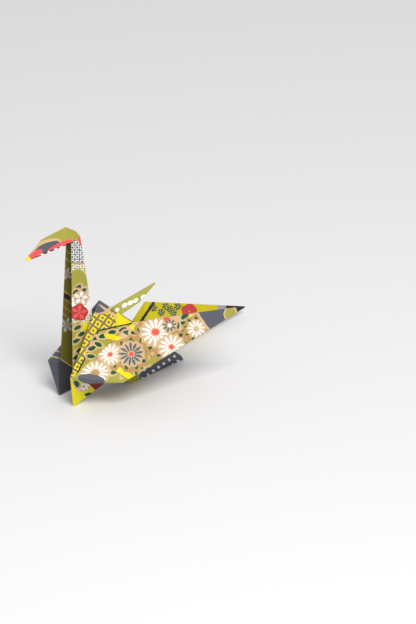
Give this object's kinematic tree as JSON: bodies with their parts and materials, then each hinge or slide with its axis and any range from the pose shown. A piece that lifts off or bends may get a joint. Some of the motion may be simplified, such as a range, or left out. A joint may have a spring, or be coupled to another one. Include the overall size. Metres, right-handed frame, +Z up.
{
  "type": "origami crane",
  "caption": "Folded paper crane with a tall hooked neck, short tail and swept wings, in a floral patterned paper.",
  "frame": {"origin": "on the resting plane, straight below the peak of the hump", "axes": "+Z up, the head points to -Y, +X is the crane's own left side"},
  "size_m": [0.0456, 0.0941, 0.0641],
  "materials": {
    "printed_paper": "matt printed paper with fine gold outlines"
  },
  "bodies": {
    "root": {"folded_crane": "printed_paper"}
  },
  "joints": []
}
